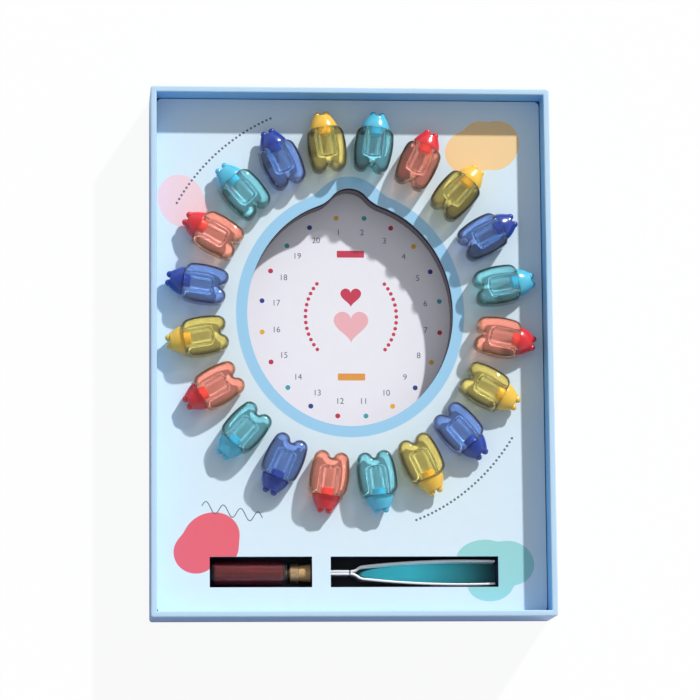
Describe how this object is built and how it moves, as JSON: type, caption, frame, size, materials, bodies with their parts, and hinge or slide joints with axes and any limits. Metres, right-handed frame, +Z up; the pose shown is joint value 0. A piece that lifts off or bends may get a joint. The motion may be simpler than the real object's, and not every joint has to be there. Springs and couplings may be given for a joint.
{
  "type": "baby tooth keepsake box",
  "caption": "Open board tray whose insert holds an oval ring of lift-out tooth capsules with pull-off caps round a window, with a corked vial and tweezers in two slots.",
  "frame": {"origin": "middle of the tray's underside", "axes": "+X across the tray towards the tweezers' tips, +Y along the tray away from the two slots, +Z up out of the open tray"},
  "size_m": [0.2, 0.265, 0.033],
  "materials": {
    "covered_board": "smooth printed paper over grey board",
    "printed_board": "smooth printed card",
    "chart_card": "smooth printed card",
    "slot_card": "matte black card",
    "foam": "matte closed-cell foam",
    "capsule_yellow": "clear tinted, polished",
    "capsule_teal": "clear tinted, polished",
    "capsule_red": "clear tinted, polished",
    "capsule_blue": "clear tinted, polished",
    "cap_yellow": "polished",
    "cap_teal": "polished",
    "cap_red": "polished",
    "cap_blue": "polished",
    "vial_glass": "clear",
    "cork": "bare cork",
    "filling": "loose fibre",
    "tweezers_steel": "satin"
  },
  "bodies": {
    "tray": {"bottom_board": "covered_board", "front_wall": "covered_board", "back_wall": "covered_board", "left_wall": "covered_board", "right_wall": "covered_board", "chart_card": "chart_card", "slot_floor_card": "slot_card"},
    "insert": {"foam_insert": "foam", "insert_top_board": "printed_board"},
    "capsule_01": {"tooth_capsule_01": "capsule_yellow"},
    "cap_01": {"capsule_cap_01": "cap_yellow"},
    "capsule_02": {"tooth_capsule_02": "capsule_teal"},
    "cap_02": {"capsule_cap_02": "cap_teal"},
    "capsule_03": {"tooth_capsule_03": "capsule_red"},
    "cap_03": {"capsule_cap_03": "cap_red"},
    "capsule_04": {"tooth_capsule_04": "capsule_yellow"},
    "cap_04": {"capsule_cap_04": "cap_yellow"},
    "capsule_05": {"tooth_capsule_05": "capsule_blue"},
    "cap_05": {"capsule_cap_05": "cap_blue"},
    "capsule_06": {"tooth_capsule_06": "capsule_teal"},
    "cap_06": {"capsule_cap_06": "cap_teal"},
    "capsule_07": {"tooth_capsule_07": "capsule_red"},
    "cap_07": {"capsule_cap_07": "cap_red"},
    "capsule_08": {"tooth_capsule_08": "capsule_yellow"},
    "cap_08": {"capsule_cap_08": "cap_yellow"},
    "capsule_09": {"tooth_capsule_09": "capsule_blue"},
    "cap_09": {"capsule_cap_09": "cap_blue"},
    "capsule_10": {"tooth_capsule_10": "capsule_yellow"},
    "cap_10": {"capsule_cap_10": "cap_yellow"},
    "capsule_11": {"tooth_capsule_11": "capsule_teal"},
    "cap_11": {"capsule_cap_11": "cap_teal"},
    "capsule_12": {"tooth_capsule_12": "capsule_red"},
    "cap_12": {"capsule_cap_12": "cap_red"},
    "capsule_13": {"tooth_capsule_13": "capsule_blue"},
    "cap_13": {"capsule_cap_13": "cap_blue"},
    "capsule_14": {"tooth_capsule_14": "capsule_teal"},
    "cap_14": {"capsule_cap_14": "cap_teal"},
    "capsule_15": {"tooth_capsule_15": "capsule_red"},
    "cap_15": {"capsule_cap_15": "cap_red"},
    "capsule_16": {"tooth_capsule_16": "capsule_yellow"},
    "cap_16": {"capsule_cap_16": "cap_yellow"},
    "capsule_17": {"tooth_capsule_17": "capsule_blue"},
    "cap_17": {"capsule_cap_17": "cap_blue"},
    "capsule_18": {"tooth_capsule_18": "capsule_red"},
    "cap_18": {"capsule_cap_18": "cap_red"},
    "capsule_19": {"tooth_capsule_19": "capsule_teal"},
    "cap_19": {"capsule_cap_19": "cap_teal"},
    "capsule_20": {"tooth_capsule_20": "capsule_blue"},
    "cap_20": {"capsule_cap_20": "cap_blue"},
    "vial": {"vial_glass": "vial_glass", "vial_fill": "filling"},
    "cork": {"vial_cork": "cork"},
    "tweezers": {"tweezers_heel": "tweezers_steel"},
    "upper_arm": {"tweezers_upper_arm": "tweezers_steel"},
    "lower_arm": {"tweezers_lower_arm": "tweezers_steel"}
  },
  "joints": [
    {"name": "insert_lift", "type": "slide", "parent": "tray", "child": "insert", "axis": [0, 0, 1], "range_m": [0, 0.04]},
    {"name": "capsule_01_lift", "type": "slide", "parent": "insert", "child": "capsule_01", "axis": [0, 0, 1], "range_m": [0, 0.03]},
    {"name": "cap_01_pull", "type": "slide", "parent": "capsule_01", "child": "cap_01", "axis": [-0.1406, 0.9901, 0], "range_m": [0, 0.004]},
    {"name": "capsule_02_lift", "type": "slide", "parent": "insert", "child": "capsule_02", "axis": [0, 0, 1], "range_m": [0, 0.03]},
    {"name": "cap_02_pull", "type": "slide", "parent": "capsule_02", "child": "cap_02", "axis": [0.1406, 0.9901, 0], "range_m": [0, 0.004]},
    {"name": "capsule_03_lift", "type": "slide", "parent": "insert", "child": "capsule_03", "axis": [0, 0, 1], "range_m": [0, 0.03]},
    {"name": "cap_03_pull", "type": "slide", "parent": "capsule_03", "child": "cap_03", "axis": [0.4156, 0.9096, 0], "range_m": [0, 0.004]},
    {"name": "capsule_04_lift", "type": "slide", "parent": "insert", "child": "capsule_04", "axis": [0, 0, 1], "range_m": [0, 0.03]},
    {"name": "cap_04_pull", "type": "slide", "parent": "capsule_04", "child": "cap_04", "axis": [0.6676, 0.7445, 0], "range_m": [0, 0.004]},
    {"name": "capsule_05_lift", "type": "slide", "parent": "insert", "child": "capsule_05", "axis": [0, 0, 1], "range_m": [0, 0.03]},
    {"name": "cap_05_pull", "type": "slide", "parent": "capsule_05", "child": "cap_05", "axis": [0.8694, 0.494, 0], "range_m": [0, 0.004]},
    {"name": "capsule_06_lift", "type": "slide", "parent": "insert", "child": "capsule_06", "axis": [0, 0, 1], "range_m": [0, 0.03]},
    {"name": "cap_06_pull", "type": "slide", "parent": "capsule_06", "child": "cap_06", "axis": [0.9848, 0.1739, 0], "range_m": [0, 0.004]},
    {"name": "capsule_07_lift", "type": "slide", "parent": "insert", "child": "capsule_07", "axis": [0, 0, 1], "range_m": [0, 0.03]},
    {"name": "cap_07_pull", "type": "slide", "parent": "capsule_07", "child": "cap_07", "axis": [0.9848, -0.1739, 0], "range_m": [0, 0.004]},
    {"name": "capsule_08_lift", "type": "slide", "parent": "insert", "child": "capsule_08", "axis": [0, 0, 1], "range_m": [0, 0.03]},
    {"name": "cap_08_pull", "type": "slide", "parent": "capsule_08", "child": "cap_08", "axis": [0.8694, -0.494, 0], "range_m": [0, 0.004]},
    {"name": "capsule_09_lift", "type": "slide", "parent": "insert", "child": "capsule_09", "axis": [0, 0, 1], "range_m": [0, 0.03]},
    {"name": "cap_09_pull", "type": "slide", "parent": "capsule_09", "child": "cap_09", "axis": [0.6676, -0.7445, 0], "range_m": [0, 0.004]},
    {"name": "capsule_10_lift", "type": "slide", "parent": "insert", "child": "capsule_10", "axis": [0, 0, 1], "range_m": [0, 0.03]},
    {"name": "cap_10_pull", "type": "slide", "parent": "capsule_10", "child": "cap_10", "axis": [0.4156, -0.9096, 0], "range_m": [0, 0.004]},
    {"name": "capsule_11_lift", "type": "slide", "parent": "insert", "child": "capsule_11", "axis": [0, 0, 1], "range_m": [0, 0.03]},
    {"name": "cap_11_pull", "type": "slide", "parent": "capsule_11", "child": "cap_11", "axis": [0.1406, -0.9901, 0], "range_m": [0, 0.004]},
    {"name": "capsule_12_lift", "type": "slide", "parent": "insert", "child": "capsule_12", "axis": [0, 0, 1], "range_m": [0, 0.03]},
    {"name": "cap_12_pull", "type": "slide", "parent": "capsule_12", "child": "cap_12", "axis": [-0.1406, -0.9901, 0], "range_m": [0, 0.004]},
    {"name": "capsule_13_lift", "type": "slide", "parent": "insert", "child": "capsule_13", "axis": [0, 0, 1], "range_m": [0, 0.03]},
    {"name": "cap_13_pull", "type": "slide", "parent": "capsule_13", "child": "cap_13", "axis": [-0.4156, -0.9096, 0], "range_m": [0, 0.004]},
    {"name": "capsule_14_lift", "type": "slide", "parent": "insert", "child": "capsule_14", "axis": [0, 0, 1], "range_m": [0, 0.03]},
    {"name": "cap_14_pull", "type": "slide", "parent": "capsule_14", "child": "cap_14", "axis": [-0.6676, -0.7445, 0], "range_m": [0, 0.004]},
    {"name": "capsule_15_lift", "type": "slide", "parent": "insert", "child": "capsule_15", "axis": [0, 0, 1], "range_m": [0, 0.03]},
    {"name": "cap_15_pull", "type": "slide", "parent": "capsule_15", "child": "cap_15", "axis": [-0.8694, -0.494, 0], "range_m": [0, 0.004]},
    {"name": "capsule_16_lift", "type": "slide", "parent": "insert", "child": "capsule_16", "axis": [0, 0, 1], "range_m": [0, 0.03]},
    {"name": "cap_16_pull", "type": "slide", "parent": "capsule_16", "child": "cap_16", "axis": [-0.9848, -0.1739, 0], "range_m": [0, 0.004]},
    {"name": "capsule_17_lift", "type": "slide", "parent": "insert", "child": "capsule_17", "axis": [0, 0, 1], "range_m": [0, 0.03]},
    {"name": "cap_17_pull", "type": "slide", "parent": "capsule_17", "child": "cap_17", "axis": [-0.9848, 0.1739, 0], "range_m": [0, 0.004]},
    {"name": "capsule_18_lift", "type": "slide", "parent": "insert", "child": "capsule_18", "axis": [0, 0, 1], "range_m": [0, 0.03]},
    {"name": "cap_18_pull", "type": "slide", "parent": "capsule_18", "child": "cap_18", "axis": [-0.8694, 0.494, 0], "range_m": [0, 0.004]},
    {"name": "capsule_19_lift", "type": "slide", "parent": "insert", "child": "capsule_19", "axis": [0, 0, 1], "range_m": [0, 0.03]},
    {"name": "cap_19_pull", "type": "slide", "parent": "capsule_19", "child": "cap_19", "axis": [-0.6676, 0.7445, 0], "range_m": [0, 0.004]},
    {"name": "capsule_20_lift", "type": "slide", "parent": "insert", "child": "capsule_20", "axis": [0, 0, 1], "range_m": [0, 0.03]},
    {"name": "cap_20_pull", "type": "slide", "parent": "capsule_20", "child": "cap_20", "axis": [-0.4156, 0.9096, 0], "range_m": [0, 0.004]},
    {"name": "vial_lift", "type": "slide", "parent": "tray", "child": "vial", "axis": [0, 0, 1], "range_m": [0, 0.04]},
    {"name": "cork_pull", "type": "slide", "parent": "vial", "child": "cork", "axis": [1, 0, 0], "range_m": [0, 0.005]},
    {"name": "tweezers_lift", "type": "slide", "parent": "tray", "child": "tweezers", "axis": [0, 0, 1], "range_m": [0, 0.04]},
    {"name": "upper_arm_squeeze", "type": "hinge", "parent": "tweezers", "child": "upper_arm", "pos_m": [-0.00065, -0.10855, 0.0088], "axis": [0, 0, -1], "range_deg": [0, 3.6], "stiffness_Nm_per_rad": 0.5},
    {"name": "lower_arm_squeeze", "type": "hinge", "parent": "tweezers", "child": "lower_arm", "pos_m": [-0.00065, -0.10985, 0.0088], "axis": [0, 0, 1], "range_deg": [0, 3.6], "stiffness_Nm_per_rad": 0.5}
  ],
  "couplings": [
    {"joint": "lower_arm_squeeze", "follows": "upper_arm_squeeze", "ratio": 1}
  ]
}
